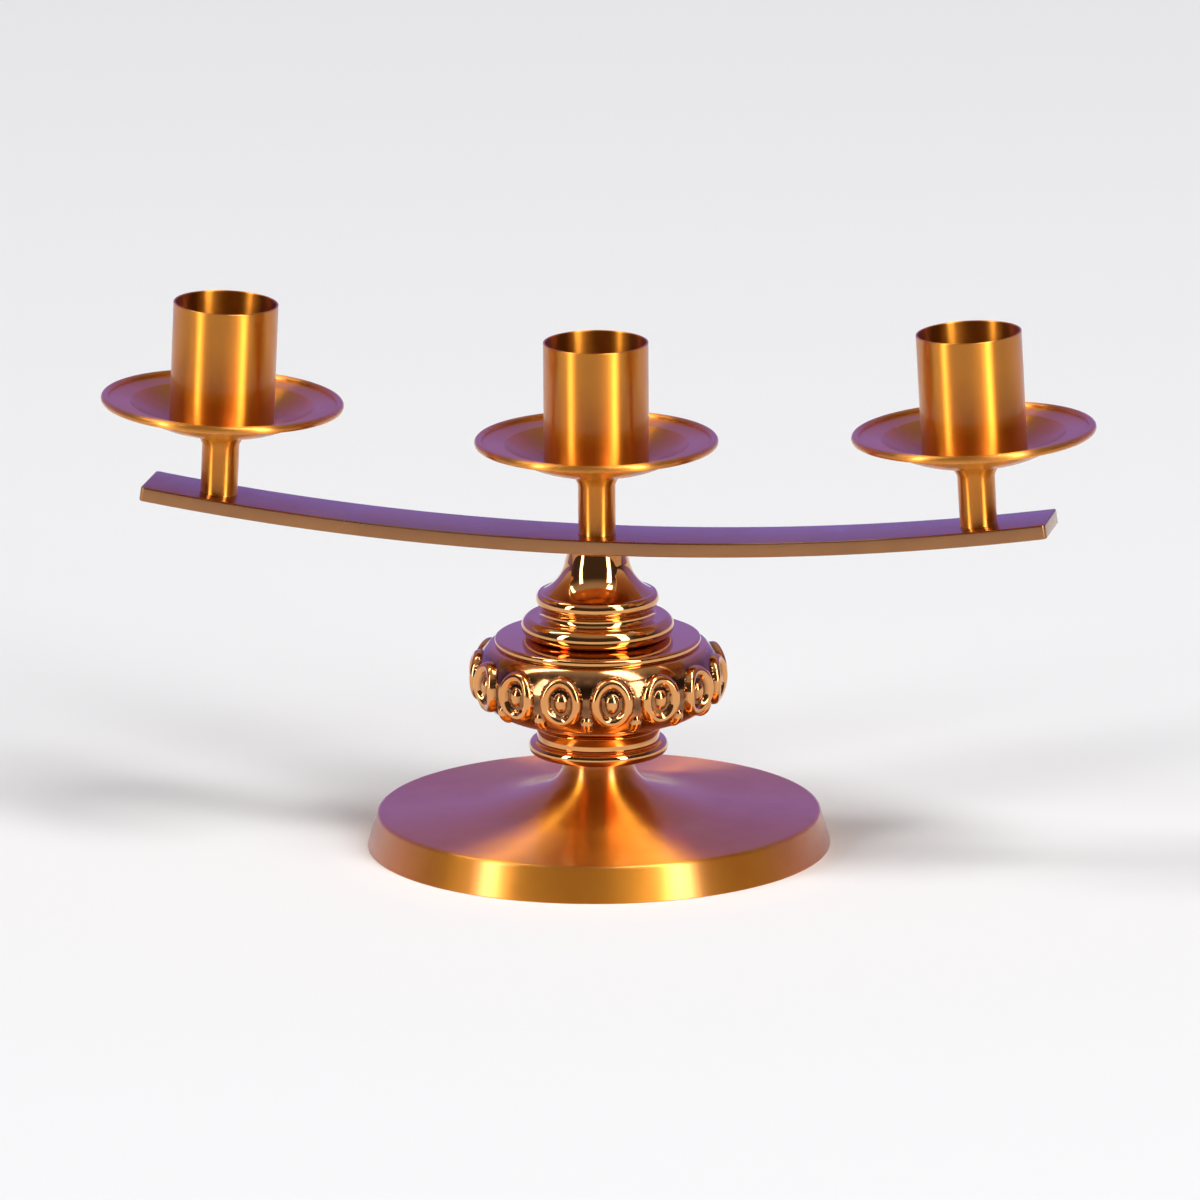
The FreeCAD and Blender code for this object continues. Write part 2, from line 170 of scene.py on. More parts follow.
class EffectGraph(Graph):
    """Node group of a shared effect, which gives a mask or the height of fine lines."""

    streak_share = 0.12
    drift_cells = 60.0
    patina_least = 0.4

    def __init__(self, effect: Effect) -> None:
        """Builds the node group.

        Args:
            effect: Effect to build.
        """
        super().__init__(bpy.data.node_groups.new(effect.value, "ShaderNodeTree"))
        build, inputs, outputs = EFFECTS[effect]
        kind = "NodeSocketFloat"
        for label, value in inputs.items():
            socket = self.tree.interface.new_socket(label, in_out="INPUT", socket_type=kind)
            socket.default_value = value
        for label in outputs:
            self.tree.interface.new_socket(label, in_out="OUTPUT", socket_type=kind)
        self.inputs = self.add("NodeGroupInput").outputs
        self.add("NodeGroupOutput", dict(zip(outputs, build(self))))

    def lines(self, vector: NodeSocket) -> Sockets:
        """Gives the height and the streaks of fine lines that follow a vector."""
        streaks = self.math("MULTIPLY", self.inputs["Lines"], self.streak_share)
        return (
            self.noise(vector, self.inputs["Lines"], detail=2.0),
            self.noise(vector, streaks, detail=3.0),
        )

    def turned_lines(self) -> Sockets:
        """Builds the rings of a lathe, by the radius and the height that a turned mesh keeps.

        Returns:
            Height and streaks.
        """
        turning = self.add("ShaderNodeAttribute", attribute_name=Layer.TURNING.label)
        radius, height, _ = self.split(turning.outputs["Vector"])
        cloud = self.noise(self.coordinates(), self.drift_cells, detail=1.0)
        drift = self.math("MULTIPLY", cloud, self.inputs["Drift"])
        moved = (self.math("ADD", radius, drift), self.math("ADD", height, drift))
        return self.lines(self.vector(*moved, 0.0))

    def drawn_lines(self) -> Sockets:
        """Builds the fine lines that run along a drawn bar's X axis."""
        x, y, z = self.split(self.coordinates())
        return self.lines(self.vector(self.math("MULTIPLY", x, self.inputs["Run"]), y, z))

    def handling_haze(self) -> Sockets:
        """Builds the cloudy haze of handling and cleaning."""
        cloud = self.noise(self.coordinates(), self.inputs["Scale"], detail=4.0)
        return (self.step(cloud, self.inputs["Low"], self.inputs["High"]),)

    def edge_polish(self) -> Sockets:
        """Builds a mask of the edges that wear brightest."""
        pointed = self.add("ShaderNodeNewGeometry").outputs["Pointiness"]
        return (self.step(pointed, self.inputs["Low"], self.inputs["High"]),)

    def recess_patina(self) -> Sockets:
        """Builds a mask of the recesses that are darkened, partly as oxide and partly as painted
        shade.

        Returns:
            The mask.
        """
        recess = self.add("ShaderNodeAttribute", attribute_name=Layer.RECESS.label).outputs["Fac"]
        cloud = self.noise(self.coordinates(), self.inputs["Scale"], detail=3.0)
        spotted = self.math("MULTIPLY", recess, self.math("ADD", cloud, self.patina_least))
        return (self.math("MULTIPLY", spotted, self.inputs["Amount"]),)


LINES = ("Height", "Streak")
EFFECTS: dict[Effect, tuple[Callable[[EffectGraph], Sockets], dict[str, float], Sequence[str]]] = {
    Effect.TURNED: (EffectGraph.turned_lines, {"Lines": 3000.0, "Drift": 0.0002}, LINES),
    Effect.DRAWN: (EffectGraph.drawn_lines, {"Lines": 3000.0, "Run": 0.012}, LINES),
    Effect.HAZE: (EffectGraph.handling_haze, {"Scale": 30.0, "Low": 0.42, "High": 0.72}, ("Haze",)),
    Effect.EDGE: (EffectGraph.edge_polish, {"Low": 0.53, "High": 0.68}, ("Edge",)),
    # Darkening of hollows, partly oxide and partly painted shade.
    Effect.PATINA: (EffectGraph.recess_patina, {"Amount": 0.5, "Scale": 220.0}, ("Patina",)),
}


@dataclass(frozen=True)
class MetalFinish:
    """Finish of a metal surface, with its grain, haze, worn edges, and hollows darkened by oxide
    and painted shade.

    The colours are the main tone, the warm haze, the worn edges and the darkening in recesses,
    which is partly oxide and partly painted shade. Lines and haze count per metre, and the grain's
    depth is in metres. The highlights are stretched around an axis, and turned by a share of a full
    turn.
    """

    name: str
    tone: Color
    warm: Color
    worn: Color
    # Colour of darkened hollows, partly oxide and partly painted shade.
    tarnish_and_shade: Color
    roughness: float
    haze_roughness: float
    grain: Effect
    lines: float
    grain_depth: float
    anisotropy: float
    turn: float = 0.25
    axis: str = "Z"
    lacquer: float = 0.0
    lacquer_roughness: float = 0.1
    # How strongly the hollows are darkened with oxide and painted shade.
    patina: float = 0.5
    color_haze: float = 24.0
    rough_haze: float = 75.0

    def material(self) -> Material:
        """Builds the finish's material, once.

        Returns:
            The material.
        """
        known = bpy.data.materials.get(self.name)
        if known:
            return known
        material = bpy.data.materials.new(self.name)
        material.use_nodes = True
        graph = Graph(material.node_tree)
        roughness, normal = self.relief(graph)
        tangent = graph.add("ShaderNodeTangent", direction_type="RADIAL", axis=self.axis)
        surface = graph.add("ShaderNodeBsdfPrincipled", {
            "Base Color": self.color(graph),
            "Metallic": 1.0,
            "Roughness": roughness,
            "Normal": normal,
            "Anisotropic": self.anisotropy,
            "Anisotropic Rotation": self.turn,
            "Tangent": tangent.outputs[0],
            "Coat Weight": self.lacquer,
            "Coat Roughness": self.lacquer_roughness,
        })
        graph.add("ShaderNodeOutputMaterial", {"Surface": surface.outputs[0]})
        return material

    def color(self, graph: Graph) -> NodeSocket:
        """Builds the base colour: tone, hazy patches, recesses darkened by oxide and painted shade,
        and worn edges.

        Args:
            graph: Material's graph.

        Returns:
            The colour.
        """
        haze = graph.effect(Effect.HAZE, Scale=self.color_haze)["Haze"]
        # Hollows take the dark colour: oxide and painted shade.
        patina = graph.effect(Effect.PATINA, Amount=self.patina)["Patina"]
        edge = graph.effect(Effect.EDGE)["Edge"]
        toned = graph.mix(haze, self.tone, self.warm)
        return graph.mix(edge, graph.mix(patina, toned, self.tarnish_and_shade), self.worn)

    def relief(self, graph: Graph) -> Sockets:
        """Builds the roughness and the fine lines.

        Args:
            graph: Material's graph.

        Returns:
            The roughness and the normal.
        """
        lines = graph.effect(self.grain, Lines=self.lines)
        haze = graph.effect(Effect.HAZE, Scale=self.rough_haze)["Haze"]
        rough = graph.math("ADD", haze, lines["Streak"])
        uneven = graph.math("MULTIPLY", rough, self.haze_roughness)
        grooves = {"Distance": self.grain_depth, "Height": lines["Height"]}
        bump = graph.add("ShaderNodeBump", grooves)
        return graph.math("ADD", uneven, self.roughness), bump.outputs[0]


SPUN_BRASS = MetalFinish(
    name="spun_brass", tone=(0.82, 0.31, 0.03), warm=(0.76, 0.26, 0.024), worn=(0.9, 0.5, 0.15),
    tarnish_and_shade=(0.24, 0.08, 0.015), roughness=0.36, haze_roughness=0.04, grain=Effect.TURNED,
    lines=2600.0, grain_depth=3e-6, anisotropy=1.0, lacquer=0.7, lacquer_roughness=0.2,
)
CUP_BRASS = replace(SPUN_BRASS, name="cup_brass", lacquer=0.4, lacquer_roughness=0.1)
POLISHED_BRASS = MetalFinish(
    name="mirror_brass", tone=(0.72, 0.33, 0.1), warm=(0.67, 0.29, 0.08), worn=(0.9, 0.5, 0.17),
    tarnish_and_shade=(0.12, 0.045, 0.015), roughness=0.04, haze_roughness=0.03, grain=Effect.TURNED,
    lines=1500.0, grain_depth=5e-7, anisotropy=0.2, lacquer=0.6, lacquer_roughness=0.03,
)
# The cast knop's hollows are darkened strongly, partly oxide and partly painted shade.
CAST_BRASS = MetalFinish(
    name="cast_brass", tone=(0.76, 0.345, 0.11), warm=(0.7, 0.29, 0.08), worn=(0.92, 0.54, 0.22),
    tarnish_and_shade=(0.1, 0.035, 0.012), roughness=0.09, haze_roughness=0.06, grain=Effect.TURNED,
    lines=900.0, grain_depth=2e-6, anisotropy=0.0, lacquer=0.5, lacquer_roughness=0.05, patina=0.85,
)
# Darker than the other brass: painted shade that stands in for the dark surroundings its faces
# reflect.
SHADED_DRAWN_BRASS = MetalFinish(
    name="drawn_brass_painted_shade", tone=(0.36, 0.15, 0.045), warm=(0.31, 0.125, 0.038), worn=(0.76, 0.4, 0.13),
    tarnish_and_shade=(0.2, 0.08, 0.02), roughness=0.25, haze_roughness=0.06, grain=Effect.DRAWN,
    lines=2600.0, grain_depth=3e-6, anisotropy=0.6, turn=0.0, axis="X", lacquer=0.8,
    lacquer_roughness=0.15,
)
FITTING_BRASS = MetalFinish(
    name="fitting_brass", tone=(0.72, 0.43, 0.14), warm=(0.6, 0.33, 0.1), worn=(0.82, 0.56, 0.24),
    tarnish_and_shade=(0.16, 0.08, 0.03), roughness=0.28, haze_roughness=0.1, grain=Effect.DRAWN,
    lines=2200.0, grain_depth=2e-5, anisotropy=0.3,
)
ZINC_STEEL = MetalFinish(
    name="zinc_steel", tone=(0.56, 0.56, 0.57), warm=(0.46, 0.47, 0.47), worn=(0.7, 0.7, 0.71),
    tarnish_and_shade=(0.15, 0.14, 0.13), roughness=0.3, haze_roughness=0.12, grain=Effect.DRAWN,
    lines=1600.0, grain_depth=2e-5, anisotropy=0.2,
)


@dataclass(frozen=True)
class Corner:
    """Corner of a turned outline, in millimetres.

    Attributes:
        r: Distance from the axis.
        z: Height.
        bow: Rise of the arc that ends here, to the left of its travel; 0 is a straight side.
        soft: Length that the rounding of this corner takes off each side.
    """

    r: float
    z: float
    bow: float = 0.0
    soft: float = 0.0

    @property
    def point(self) -> Vector:
        """The corner's place in the half plane."""
        return Vector((self.r, self.z))


class Outline:
    """Closed outline of a turned piece, with its arcs and rounded corners as points."""

    arc_step = math.radians(4)
    least_steps = 6
    longest = 4.0
    longest_arc = 2.0
    short_run = 1.0
    support = 0.12
    round_steps = 6
    same = 0.001
    slack = 1e-9

    def __init__(self, *corners: Corner) -> None:
        """Keeps the corners in order, less any that repeats the one before."""
        gaps = [(c.point - corners[i - 1].point).length for i, c in enumerate(corners)]
        self.corners = [corner for corner, gap in zip(corners, gaps) if gap > self.same]

    def side(self, index: int) -> list[Vector]:
        """Draws the side that ends at a corner.

        Args:
            index: Corner's number.

        Returns:
            Points from the corner before to this one.
        """
        start, end = self.corners[index - 1].point, self.corners[index].point
        bow = self.corners[index].bow
        if bow == 0:
            return [start, end]
        chord = end - start
        half = chord.length / 2
        radius = (half * half + bow * bow) / (2 * abs(bow))
        left = Vector((-chord.y, chord.x)).normalized()
        center = (start + end) / 2 + left * (bow - math.copysign(radius, bow))
        half_turn = 2 * math.atan2(abs(bow), half)
        first = math.atan2(start.y - center.y, start.x - center.x)
        total = -math.copysign(2 * half_turn, bow)
        by_turn = math.ceil(abs(total) / self.arc_step)
        by_length = math.ceil(abs(total) * radius / self.longest_arc)
        count = max(self.least_steps, by_turn, by_length)
        angles = [first + total * i / count for i in range(count + 1)]
        return [center + Vector((math.cos(a), math.sin(a))) * radius for a in angles]

    def trimmed(self, line: list[Vector], head: float, tail: float) -> list[Vector]:
        """Shortens a line at both ends and divides its long straight runs.

        Args:
            line: Points of the line.
            head: Length to take off the start.
            tail: Length to take off the end.

        Returns:
            Points of the shorter line.
        """
        reach = [0.0]
        for before, after in zip(line, line[1:]):
            reach.append(reach[-1] + (after - before).length)
        total = reach[-1]
        stops = {head, total - tail}
        stops.update(stop for stop in reach if head < stop < total - tail)
        if len(line) == 2:
            run = total - head - tail
            pieces = max(1, math.ceil(run / self.longest))
            stops.update(head + run * i / pieces for i in range(pieces))
            if head and run > self.short_run:
                stops.add(head + self.support)
            if tail and run > self.short_run:
                stops.add(total - tail - self.support)
        points = []
        for stop in sorted(stops):
            i = max(j for j in range(len(line) - 1) if reach[j] <= stop + self.slack)
            share = (stop - reach[i]) / (reach[i + 1] - reach[i])
            points.append(line[i].lerp(line[i + 1], share))
        return points

    def points(self) -> list[Vector]:
        """Draws the whole outline.

        Returns:
            Points around it, counter-clockwise.
        """
        count = len(self.corners)
        sides = []
        for i, corner in enumerate(self.corners):
            sides.append(self.trimmed(self.side(i), self.corners[i - 1].soft, corner.soft))
        found: list[Vector] = []
        for i, corner in enumerate(self.corners):
            if not corner.soft:
                found += [*sides[i][:-1], corner.point]
                continue
            found += sides[i]
            start, end = sides[i][-1], sides[(i + 1) % count][0]
            for k in range(1, self.round_steps):
                t = k / self.round_steps
                found.append(start.lerp(corner.point, t).lerp(corner.point.lerp(end, t), t))
        kept = [p for i, p in enumerate(found) if (p - found[i - 1]).length > self.same]
        area = sum(a.x * b.y - b.x * a.y for a, b in zip(kept, kept[1:] + kept[:1]))
        return kept if area > 0 else kept[::-1]


def finish_shading(mesh: Mesh) -> None:
    """Shades a mesh smooth, with its sharp edges kept."""
    mesh.shade_smooth()
    mesh.set_sharp_from_angle(angle=SHARP_ANGLE)


def mesh_object(name: str, vertices: Sequence[Sequence[float]], faces: Faces) -> Object:
    """Makes a smooth mesh object, with its sharp edges kept.

    Args:
        name: Object's name.
        vertices: Points, in metres.
        faces: Corner numbers of each face.

    Returns:
        The object, in the scene.
    """
    mesh = bpy.data.meshes.new(name)
    mesh.from_pydata(vertices, [], faces)
    finish_shading(mesh)
    made = bpy.data.objects.new(name, mesh)
    bpy.context.scene.collection.objects.link(made)
    return made


def rays(segments: int) -> list[Pair]:
    """Cosine and sine of even steps around an axis."""
    angles = [math.tau * j / segments for j in range(segments)]
    return [(math.cos(angle), math.sin(angle)) for angle in angles]


def loop(count: int) -> list[tuple[int, int]]:
    """Each number below `count` with the next one, and the last with the first."""
    return [(i, (i + 1) % count) for i in range(count)]


def ring_faces(rows: int, columns: int) -> Faces:
    """Outward faces of a grid of columns of points, which closes on itself both ways."""
    cells = product(loop(columns), loop(rows))
    return [(j * rows + i, k * rows + i, k * rows + n, j * rows + n) for (j, k), (i, n) in cells]


def band_faces(count: int, rings: int) -> Faces:
    """Outward faces between rings of points that lie one over another."""
    cells = product(range(0, (rings - 1) * count, count), loop(count))
    return [(low + i, low + k, low + count + k, low + count + i) for low, (i, k) in cells]


def lathe(
    name: str,
    points: Sequence[Vector],
    segments: int = 256,
    place: Matrix | None = None,
    recess: Callable[[Vector], float] | None = None,
) -> Object:
    """Turns a closed outline about the Z axis.

    Args:
        name: Object's name.
        points: Outline, in millimetres.
        segments: Steps around the axis.
        place: Where the piece's own frame stands; the row's frame if left out.
        recess: How far a point of the outline lies in a recess, from 0 to 1; the finish darkens it
            by that much, as painted shade and oxide.

    Returns:
        The turned object.
    """
    place = place or Matrix()
    turn = place.to_3x3() * MM
    vertices = [turn @ Vector((p.x * x, p.x * y, p.y)) for x, y in rays(segments) for p in points]
    made = mesh_object(name, vertices, ring_faces(len(points), segments))
    made.matrix_world = Matrix.Translation(place.translation)
    turning = [number for p in points for number in (p.x * MM, p.y * MM, 0.0)]
    Layer.TURNING.keep(made, turning * segments)
    if recess:
        # Points in a recess are darkened by their finish with painted shade.
        Layer.RECESS.keep(made, [recess(p) for p in points] * segments)
    return made


def plug(name: str, points: Sequence[Pair], place: Matrix) -> Object:
    """Makes a turned cutter with flat ends.

    Args:
        name: Object's name.
        points: Radius and height of its edges, from the bottom up, in millimetres.
        place: Where its own frame stands.

    Returns:
        The cutter.
    """
    turn, at, steps = place.to_3x3() * MM, place.translation, rays(CUTTER_STEPS)
    vertices = [turn @ Vector((r * x, r * y, z)) + at for r, z in points for x, y in steps]
    ends = list(range(len(vertices)))
    bottom, top = tuple(reversed(ends[:CUTTER_STEPS])), tuple(ends[-CUTTER_STEPS:])
    return mesh_object(name, vertices, [bottom, *band_faces(CUTTER_STEPS, len(points)), top])


def cut(piece: Object, cutters: Sequence[Object]) -> None:
    """Cuts holes in a piece and removes the cutters.

    Args:
        piece: Object to cut.
        cutters: Closed meshes to take away from it.
    """
    for cutter in cutters:
        modifier = piece.modifiers.new(cutter.name, "BOOLEAN")
        modifier.operation = "DIFFERENCE"
        modifier.solver = "EXACT"
        modifier.object = cutter
    seen = piece.evaluated_get(bpy.context.evaluated_depsgraph_get())
    holed = bpy.data.meshes.new_from_object(seen)
    piece.modifiers.clear()
    piece.data = holed
    finish_shading(holed)
    for cutter in cutters:
        bpy.data.objects.remove(cutter)


def dress(piece: Object, body: str, slot: str, finish: MetalFinish, *nodes: str) -> None:
    """Gives a new piece its finish, its body and the nodes that it stands for.

    Args:
        piece: New object.
        body: Body that it moves with.
        slot: The record's material slot; not used.
        finish: Finish to wear.
        nodes: Nodes that it replaces.
    """
    piece.data.materials.append(finish.material())
    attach(piece, body)
    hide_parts(*nodes)
    LOG.info("%s: %d faces, %s", piece.name, len(piece.data.polygons), finish.name)


def span_mm(node: str) -> Pair:
    """Heights of a node's lowest and highest points, in millimetres."""
    low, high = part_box(node)
    return low.z / MM, high.z / MM


@dataclass
class Foot:
    """Spun foot: rim, sloping dish and bell, hollow below. Sizes in millimetres."""

    radius: float = 89.0
    wall: float = 2.0
    lip: float = 5.0
    rim_height: float = 13.6
    rim_taper: float = 4.0
    rim_round: float = 1.3
    dish_slope: float = math.radians(4)
    bell_slope: float = math.radians(22)
    sweep: float = 100.0
    bell: float = 12.0
    neck: float = 13.4
    plate: float = 3.0
    bore: float = 4.3
    soft: float = 0.4
    segments: int = 320

    def on_curve(self, center: Pair, radius: float, slope: float) -> Pair:
        """Point of a hollow curve where its face slopes down outwards by `slope`."""
        return center[0] - radius * math.sin(slope), center[1] - radius * math.cos(slope)

    def bow(self, radius: float, slopes: Pair) -> float:
        """Rise of an arc between two slopes."""
        return radius * (1 - math.cos((slopes[1] - slopes[0]) / 2))

    def build(self) -> None:
        """Builds the foot's sheet, outside and inside, in spun brass."""
        _, top = span_mm("base_shell")
        rim_top = self.radius - self.rim_taper
        slopes = (self.dish_slope, self.bell_slope)
        bell_at = (self.neck + self.bell, top)
        sweep_at = self.on_curve(bell_at, self.bell - self.sweep, self.bell_slope)
        dish, bell = (self.on_curve(sweep_at, self.sweep, slope) for slope in slopes)
        inner_sweep, inner_bell = self.sweep + self.wall, self.bell + self.wall
        dish_in, bell_in = (self.on_curve(sweep_at, inner_sweep, slope) for slope in slopes)
        plate_slope = math.acos(self.plate / inner_bell)
        plate_in = self.on_curve(bell_at, inner_bell, plate_slope)
        corner_r = rim_top - self.wall
        corner_z = dish_in[1] - (corner_r - dish_in[0]) * math.tan(self.dish_slope)
        lip_r = self.radius - self.wall - self.rim_taper * self.wall / self.rim_height
        outline = Outline(
            Corner(self.radius - self.lip, 0, soft=self.soft),
            Corner(self.radius, 0, soft=self.soft),
            Corner(rim_top, self.rim_height, soft=self.rim_round),
            Corner(*dish),
            Corner(*bell, bow=self.bow(self.sweep, slopes)),
            Corner(self.neck, top, bow=self.bow(self.bell, (self.bell_slope, math.pi / 2))),
            Corner(self.bore, top),
            Corner(self.bore, top - self.plate),
            Corner(*plate_in),
            Corner(*bell_in, bow=-self.bow(inner_bell, (self.bell_slope, plate_slope))),
            Corner(*dish_in, bow=-self.bow(inner_sweep, slopes)),
            Corner(corner_r, corner_z, soft=self.soft),
            Corner(lip_r, self.wall, soft=self.soft),
            Corner(self.radius - self.lip, self.wall, soft=self.soft),
        )
        foot = lathe("foot", outline.points(), segments=self.segments)
        dress(foot, "stand", "satin_brass", SPUN_BRASS, "base_shell")


@dataclass
class Column:
    """Turned pieces of the column around the knop. Sizes in millimetres."""

    bore: float = 4.3
    soft: float = 0.35
    neck_radius: float = 13.4
    neck_height: float = 2.4
    ring_radius: float = 26.8
    ring_bow: float = 2.4
    cove_radius: float = 23.7
    cove_bow: float = 1.3
    lip_radius: float = 29.6
    lip_height: float = 2.3
    lip_soft: float = 1.0
    cap_edge: float = 3.0
    cap_soft: float = 1.2
    roll_radius: float = 29.3
    roll_foot: float = 26.6
    roll_height: float = 7.8
    roll_neck: float = 22.6
    roll_neck_bow: float = 1.0
    skirt_radius: float = 23.6
    skirt_height: float = 5.2
    skirt_bow: float = 1.2
    flare_radius: float = 21.4
    flare_bow: float = 1.8
    throat_radius: float = 12.4
    throat_height: float = 4.7
    throat_taper: float = 1.3

    def turn(self, node: str, *corners: Corner) -> None:
        """Turns one piece in polished brass.

        Args:
            node: Node that it stands for.
            corners: Its corners outside the bore, from the foot up.
        """
        low, high = span_mm(node)
        outline = Outline(Corner(self.bore, low), *corners, Corner(self.bore, high))
        piece = lathe(f"turned_{node}", outline.points())
        dress(piece, "stand", "polished_brass", POLISHED_BRASS, node)

    def neck_ring(self) -> None:
        """Builds the short neck that swells into a rounded ring."""
        low, high = span_mm("neck_ring")
        shoulder = low + self.neck_height
        side = self.ring_radius - self.ring_bow
        self.turn(
            "neck_ring",
            Corner(self.neck_radius, low),
            Corner(self.neck_radius, shoulder, soft=self.soft),
            Corner(side, shoulder, soft=self.soft),
            Corner(side, high, bow=-self.ring_bow, soft=self.soft),
        )

    def knop_seat(self) -> None:
        """Builds the hollow moulding under a thin lip."""
        low, high = span_mm("knop_seat")
        lip = high - self.lip_height
        under = self.lip_radius - self.lip_height
        self.turn(
            "knop_seat",
            Corner(self.cove_radius, low, soft=self.soft),
            Corner(under, lip, bow=self.cove_bow, soft=self.soft),
            Corner(self.lip_radius, lip, soft=self.lip_soft),
            Corner(self.lip_radius, high, soft=self.lip_soft),
        )

    def knop_cap(self) -> None:
        """Builds the disc over the bowl, with a low cone on top."""
        low, high = span_mm("knop_cap")
        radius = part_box("knop_cap")[1].x / MM
        self.turn(
            "knop_cap",
            Corner(radius, low, soft=self.cap_soft),
            Corner(radius, low + self.cap_edge, soft=self.cap_soft),
            Corner(self.roll_foot, high, soft=self.soft),
        )

    def roll_ring(self) -> None:
        """Builds the half-round roll with a hollow neck."""
        low, high = span_mm("roll_ring")
        edge = low + self.roll_height
        self.turn(
            "roll_ring",
            Corner(self.roll_foot, low, soft=self.soft),
            Corner(self.roll_foot, edge, bow=self.roll_foot - self.roll_radius, soft=self.soft),
            Corner(self.roll_neck, edge, soft=self.soft),
            Corner(self.roll_neck, high, bow=self.roll_neck_bow, soft=self.soft),
        )

    def column_bell(self) -> None:
        """Builds the beaded skirt and the sweep up to the throat."""
        low, high = span_mm("column_bell")
        side = self.skirt_radius - self.skirt_bow
        skirt = low + self.skirt_height
        flare = high - self.throat_height
        self.turn(
            "column_bell",
            Corner(side, low, soft=self.soft),
            Corner(side, skirt, bow=-self.skirt_bow, soft=self.soft),
            Corner(self.flare_radius, skirt, soft=self.soft),
            Corner(self.throat_radius, flare, bow=self.flare_bow, soft=self.soft),
            Corner(self.throat_radius - self.throat_taper, high, soft=self.soft),
        )

    def build(self) -> None:
        """Builds the turned pieces from the neck up."""
        self.neck_ring()
        self.knop_seat()
        self.knop_cap()
        self.roll_ring()
        self.column_bell()


@dataclass
class Knop:
    """Cast bowl with its row of raised ovals, eggs and darts. Sizes in millimetres."""

    radius: float = 47.4
    side: float = 15.4
    foot_angle: float = math.radians(80.5)
    mouth_angle: float = math.radians(51)
    wall: float = 3.0
    mouth: float = 36.6
    bore: float = 4.3
    count: int = 15
    oval_width: float = 16.8
    oval_height: float = 19.2
    strand: float = 4.2
    strand_from: float = 0.3
    strand_round: float = 0.7
    relief: float = 2.4
    egg_width: float = 5.0
    egg_height: float = 7.4
    egg_relief: float = 1.3
    dart_angle: float = math.radians(-37)
    dart_width: float = 4.8
    dart_height: float = 8.6
    dart_relief: float = 2.0
    boss_round: float = 0.6
    fade: float = 2.5
    least: float = 1e-6
    columns_each: int = 46
    rows: int = 120
    inner_rows: int = 16

    def bump(self, x: float, y: float, width: float, height: float, relief: float) -> float:
        """Height of a rounded boss, at `x` and `y` from its middle."""
        inside = 1 - (2 * x / width) ** 2 - (2 * y / height) ** 2
        return relief * max(0.0, inside) ** self.boss_round

    def lift(self, angle: float, turn: float) -> float:
        """Height of the ornament above the bowl.

        Args:
            angle: Angle around the axis.
            turn: Angle above the bowl's equator.

        Returns:
            Height in millimetres.
        """
        step = math.tau / self.count
        radius = self.radius - self.side + self.side * math.cos(turn)
        near = (angle + step / 2) % step - step / 2
        y, z = radius * math.sin(near), self.side * math.sin(turn)
        a, b = (self.oval_width - self.strand) / 2, (self.oval_height - self.strand) / 2
        ring = math.hypot(y / a, z / b)
        slope = math.hypot(y / a**2, z / b**2) / max(ring, self.least)
        off = (ring - 1) / max(slope, self.least) / (self.strand / 2)
        strand = 0.0
        if ring > self.strand_from:
            strand = self.relief * max(0.0, 1 - off * off) ** self.strand_round
        egg = self.bump(y, z, self.egg_width, self.egg_height, self.egg_relief)
        gap = angle % step - step / 2
        dart = self.bump(
            radius * math.sin(gap), self.side * (turn - self.dart_angle),
            self.dart_width, self.dart_height, self.dart_relief,
        )
        return max(strand, egg, dart)

    def build(self) -> None:
        """Builds the bowl and its ornament as one casting."""
        center_r = self.radius - self.side
        equator = span_mm("knop_band")[0] + self.side * math.sin(self.foot_angle)
        span = self.foot_angle + self.mouth_angle
        turns = [-self.foot_angle + span * i / self.rows for i in range(self.rows + 1)]
        mouth_z = equator + self.side * math.sin(self.mouth_angle)
        foot_z = equator - self.side * math.sin(self.foot_angle)
        inner = self.side - self.wall
        back = [self.mouth_angle - span * i / self.inner_rows for i in range(self.inner_rows + 1)]
        inside = [(center_r + inner * math.cos(t), equator + inner * math.sin(t)) for t in back]
        rest = [(self.mouth, mouth_z), (self.mouth, inside[0][1]), *inside]
        rest += [(self.bore, inside[-1][1]), (self.bore, foot_z)]
        columns = self.count * self.columns_each
        vertices: list[Vector] = []
        recess: list[float] = []
        for j in range(columns):
            angle = math.tau * j / columns
            ray = Vector((math.cos(angle), math.sin(angle), 0)) * MM
            for turn in turns:
                height = self.lift(angle, turn)
                reach = self.side + height
                vertices.append(ray * (center_r + reach * math.cos(turn)))
                vertices[-1].z = (equator + reach * math.sin(turn)) * MM
                # Hollows around and inside the ovals get painted shade with some oxide, fading out
                # above and below the row.
                beyond = abs(self.side * math.sin(turn)) - self.oval_height / 2
                fade = min(1.0, max(0.0, 1 - beyond / self.fade))
                recess.append(fade * max(0.0, 1 - height / (self.relief / 2)))
            for r, z in rest:
                vertices.append(ray * r)
                vertices[-1].z = z * MM
                recess.append(0.0)
        made = mesh_object("knop_bowl", vertices, ring_faces(len(turns) + len(rest), columns))
        Layer.TURNING.keep(made, [n for v in vertices for n in (v.xy.length, v.z, 0.0)])
        Layer.RECESS.keep(made, recess)
        dress(made, "stand", "polished_brass", CAST_BRASS, "knop_band")


